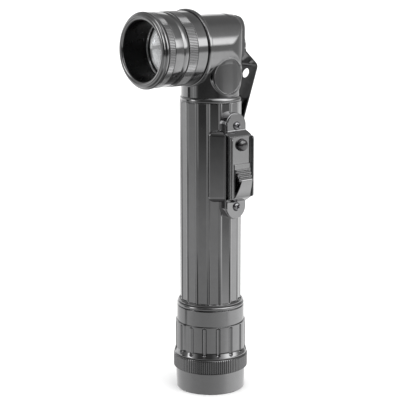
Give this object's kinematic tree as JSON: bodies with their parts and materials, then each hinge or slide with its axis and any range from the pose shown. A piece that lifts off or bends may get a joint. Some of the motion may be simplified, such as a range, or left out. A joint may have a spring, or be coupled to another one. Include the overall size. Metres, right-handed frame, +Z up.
{
  "type": "angle head flashlight",
  "caption": "Two-cell hand torch with its lamp head at a right angle to the ribbed tube, side slide switch and push button, belt clip, and screw-off tail cap with a spare filter compartment.",
  "frame": {"origin": "centre of the resting face under the base cover", "axes": "+Z up along the body tube, -Y the way the beam leaves, +X the switch side; the belt clip is on +Y"},
  "size_m": [0.0364, 0.0544, 0.1526],
  "materials": {
    "plated_shell": "black chrome plating, mirror gloss",
    "plated_sheet": "black chrome plating on steel sheet",
    "bright_steel": "drawn wire",
    "brass": "rolled strip",
    "rubber": "matt",
    "black_plastic": "moulded, matt",
    "matte_hood": "matt anti-glare black",
    "cell": "plain wrapped can",
    "reflector": "vacuum metallised, mirror bright",
    "lens": "clear, flat",
    "bulb_glass": "clear",
    "red_filter": "tinted, clear",
    "green_filter": "tinted, clear",
    "diffuser": "milky"
  },
  "bodies": {
    "body": {"body_tube": "plated_shell", "elbow": "plated_shell", "battery_lower": "cell", "battery_upper": "cell", "contact_strip": "brass", "lamp_strip": "brass", "switch_leaf": "brass", "switch_block": "black_plastic", "switch_guard": "plated_sheet", "guard_screws": "plated_sheet", "button_spring": "bright_steel", "clip_tab": "plated_sheet", "clip_rivets": "plated_sheet", "bulb_contact": "brass", "bulb_holder": "black_plastic", "bulb_base": "brass", "bulb_filament": "bright_steel", "bulb_glass": "bulb_glass", "reflector": "reflector", "lens": "lens", "lens_gasket": "rubber"},
    "clip": {"clip_arm": "plated_sheet"},
    "slide": {"slide_switch": "plated_sheet"},
    "button": {"push_button": "plated_sheet"},
    "tail_lift": {"tail_gasket": "rubber"},
    "tail": {"tail_cap": "plated_shell", "tail_spring": "bright_steel", "tail_contact": "brass"},
    "base_lift": {"base_gasket": "rubber"},
    "base": {"base_cover": "plated_shell", "spare_filter_red": "red_filter", "spare_filter_green": "green_filter", "spare_diffuser": "diffuser"},
    "lens_lift": {"rear_seal": "rubber"},
    "lens_head": {"lens_ring": "plated_shell"},
    "filter_lift": {"middle_seal": "rubber"},
    "filter_head": {"filter_ring": "plated_shell", "front_seal": "rubber", "front_ring": "plated_shell", "hood": "matte_hood"}
  },
  "joints": [
    {"name": "slide_travel", "type": "slide", "parent": "body", "child": "slide", "axis": [0, 0, 1], "range_m": [0, 0.004]},
    {"name": "button_press", "type": "slide", "parent": "body", "child": "button", "axis": [-1, 0, 0], "range_m": [0, 0.0012], "stiffness_N_per_m": 300, "springref_m": -0.003, "deforming": ["button_spring"]},
    {"name": "clip_flex", "type": "hinge", "parent": "body", "child": "clip", "pos_m": [0, 0.0137, 0.1365], "axis": [1, 0, 0], "range_deg": [0, 8], "stiffness_Nm_per_rad": 1.5, "springref_deg": -1.72},
    {"name": "tail_advance", "type": "slide", "parent": "body", "child": "tail_lift", "axis": [0, 0, -1], "range_m": [0, 0.0075]},
    {"name": "tail_turn", "type": "hinge", "parent": "tail_lift", "child": "tail", "pos_m": [0, 0, 0.026], "axis": [0, 0, -1], "range_deg": [0, 1800]},
    {"name": "base_advance", "type": "slide", "parent": "tail", "child": "base_lift", "axis": [0, 0, -1], "range_m": [0, 0.0045]},
    {"name": "base_turn", "type": "hinge", "parent": "base_lift", "child": "base", "pos_m": [0, 0, 0.01], "axis": [0, 0, -1], "range_deg": [0, 1080]},
    {"name": "lens_advance", "type": "slide", "parent": "body", "child": "lens_lift", "axis": [0, -1, 0], "range_m": [0, 0.009]},
    {"name": "lens_turn", "type": "hinge", "parent": "lens_lift", "child": "lens_head", "pos_m": [0, -0.018, 0.1377], "axis": [0, -1, 0], "range_deg": [0, 2160]},
    {"name": "filter_advance", "type": "slide", "parent": "lens_head", "child": "filter_lift", "axis": [0, -1, 0], "range_m": [0, 0.0045]},
    {"name": "filter_turn", "type": "hinge", "parent": "filter_lift", "child": "filter_head", "pos_m": [0, -0.027, 0.1377], "axis": [0, -1, 0], "range_deg": [0, 1080]}
  ],
  "couplings": [
    {"joint": "tail_advance", "follows": "tail_turn", "m_per_rad": 0.00023873},
    {"joint": "base_advance", "follows": "base_turn", "m_per_rad": 0.00023873},
    {"joint": "lens_advance", "follows": "lens_turn", "m_per_rad": 0.00023873},
    {"joint": "filter_advance", "follows": "filter_turn", "m_per_rad": 0.00023873}
  ]
}
